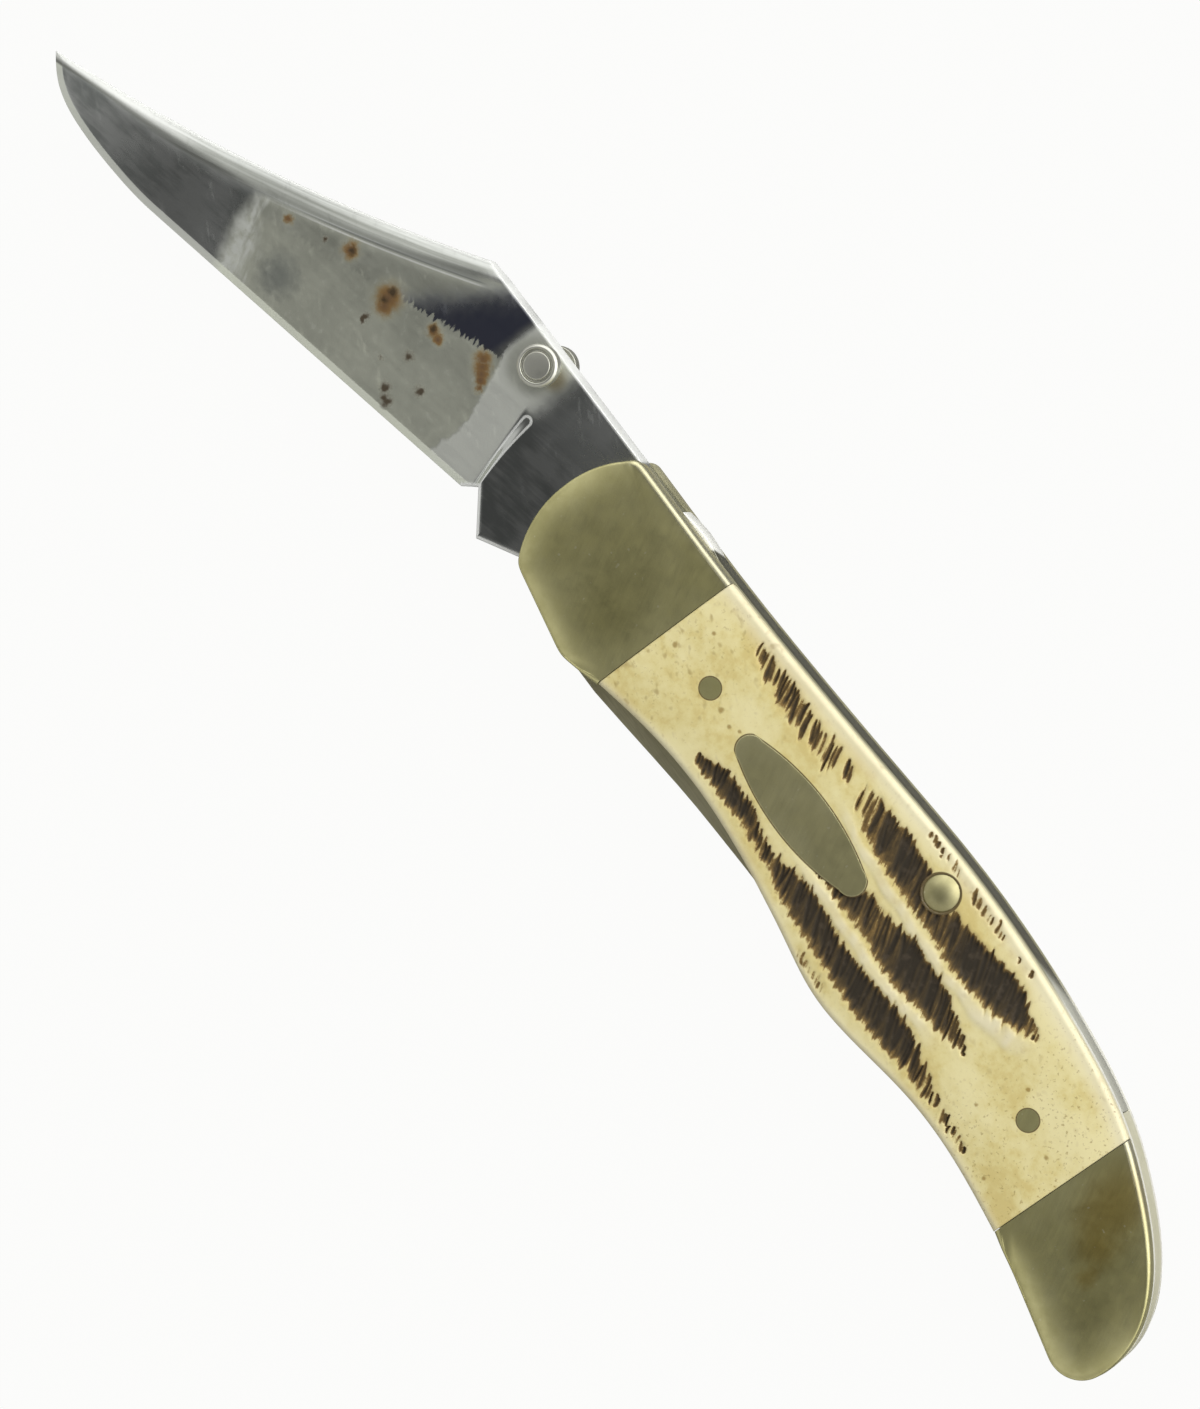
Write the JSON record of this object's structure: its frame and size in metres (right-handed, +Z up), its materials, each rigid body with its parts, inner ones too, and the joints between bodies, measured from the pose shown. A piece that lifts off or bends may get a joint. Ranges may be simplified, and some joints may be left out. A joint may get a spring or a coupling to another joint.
{
  "type": "folding pocket knife",
  "caption": "Lockback folding knife with a clip-point blade, thumb studs, jigged bone scales, metal bolsters and an oval shield, lying open on its side.",
  "frame": {"origin": "on the blade's pivot axis, in the plane that the knife's right side rests on", "axes": "+X from the pivot towards the butt, with the open blade towards -X; +Y from the belly towards the back of the handle; +Z up, towards the left side with the shield"},
  "size_m": [0.1727, 0.0339, 0.0126],
  "materials": {
    "blade_steel": "mirror-polished stainless steel with tarnish and rust specks",
    "spring_steel": "ground and polished spring steel",
    "stud_steel": "turned stainless steel",
    "nickel_silver": "polished nickel silver with a light olive tarnish",
    "liner_metal": "satin nickel silver",
    "bone": "polished cream bone with dark brown jigging"
  },
  "bodies": {
    "handle": {"pivot_pin": "nickel_silver", "left_front_bolster": "nickel_silver", "right_front_bolster": "nickel_silver", "left_rear_bolster": "nickel_silver", "right_rear_bolster": "nickel_silver", "left_liner": "liner_metal", "right_liner": "liner_metal", "left_scale": "bone", "right_scale": "bone", "shield": "nickel_silver", "shield_rivets": "nickel_silver", "lock_spring": "spring_steel", "butt_spacer": "spring_steel", "rocker_rivet": "nickel_silver", "front_scale_pins": "nickel_silver", "rear_scale_pins": "nickel_silver", "spring_pin": "nickel_silver", "butt_pin": "nickel_silver", "front_bolster_rivets": "nickel_silver"},
    "blade": {"blade": "blade_steel", "left_thumb_stud": "stud_steel", "right_thumb_stud": "stud_steel"},
    "lock": {"lock_bar": "spring_steel"}
  },
  "joints": [
    {"name": "blade_pivot", "type": "hinge", "parent": "handle", "child": "blade", "pos_m": [0, 0, 0.00607], "axis": [0, 0, 1], "range_deg": [0, 168]},
    {"name": "lock_rocker", "type": "hinge", "parent": "handle", "child": "lock", "pos_m": [0.04555, 0.01035, 0.00607], "axis": [0, 0, -1], "range_deg": [-1.6, 1], "stiffness_Nm_per_rad": 0.3, "springref_deg": -5.73, "deforming": ["lock_spring"]}
  ]
}
